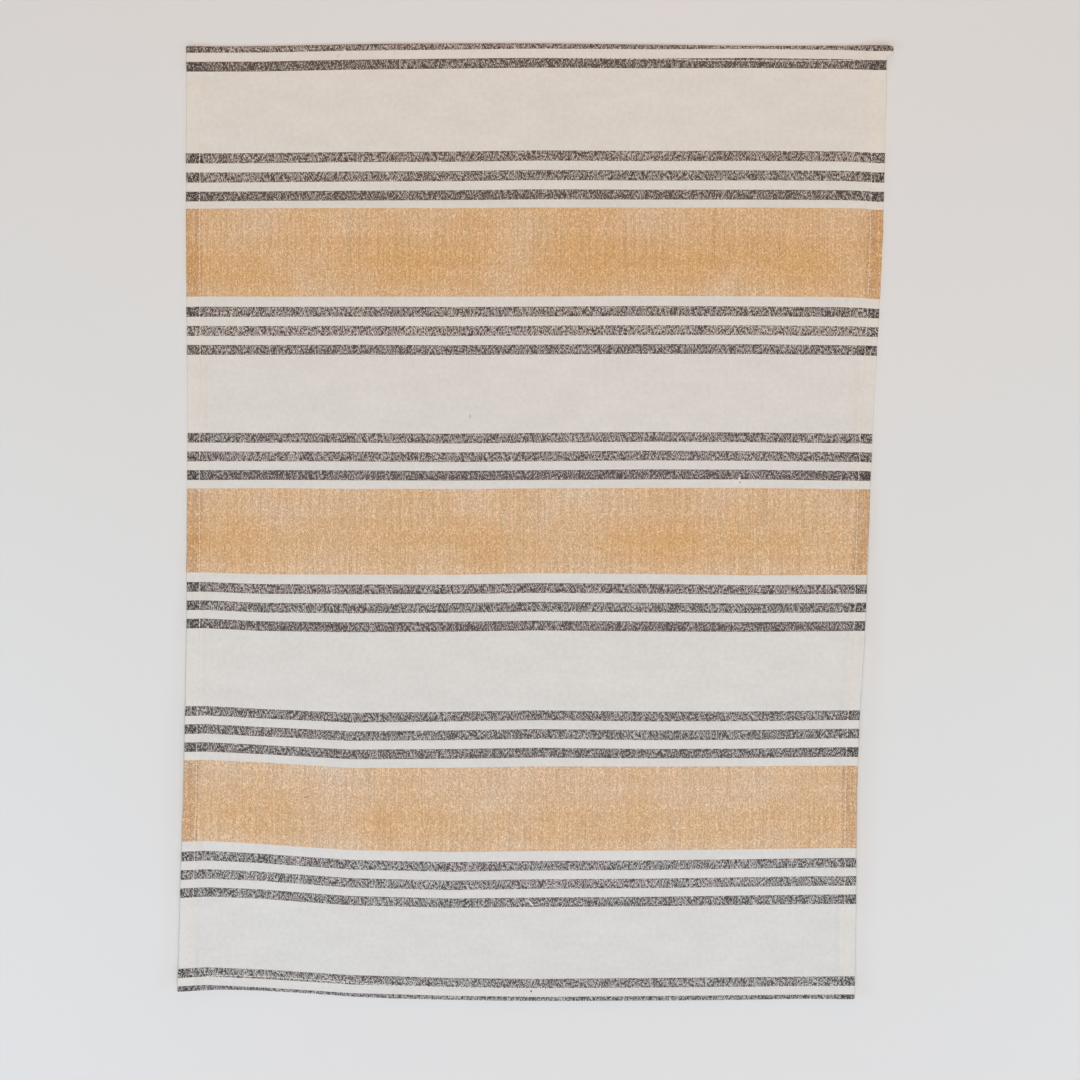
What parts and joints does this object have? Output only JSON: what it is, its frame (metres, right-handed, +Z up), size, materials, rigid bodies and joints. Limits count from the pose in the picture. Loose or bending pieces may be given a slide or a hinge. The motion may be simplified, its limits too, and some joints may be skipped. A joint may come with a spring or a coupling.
{
  "type": "tea towel",
  "caption": "Rectangular woven cotton tea towel with cross stripes and double-turned hems, lying face up on a surface, for drying dishes.",
  "frame": {"origin": "under the middle of the towel's box, on the surface that the towel lies on", "axes": "+Z up out of the face of the cloth, +Y from the foot edge to the head edge, +X to the towel's right seen from above"},
  "size_m": [0.5239, 0.7001, 0.0073],
  "materials": {
    "cotton_cloth": "matt plain-woven yarn-dyed cotton, ivory with charcoal and ochre cross stripes"
  },
  "bodies": {
    "root": {"towel_cloth": "cotton_cloth"}
  },
  "joints": []
}
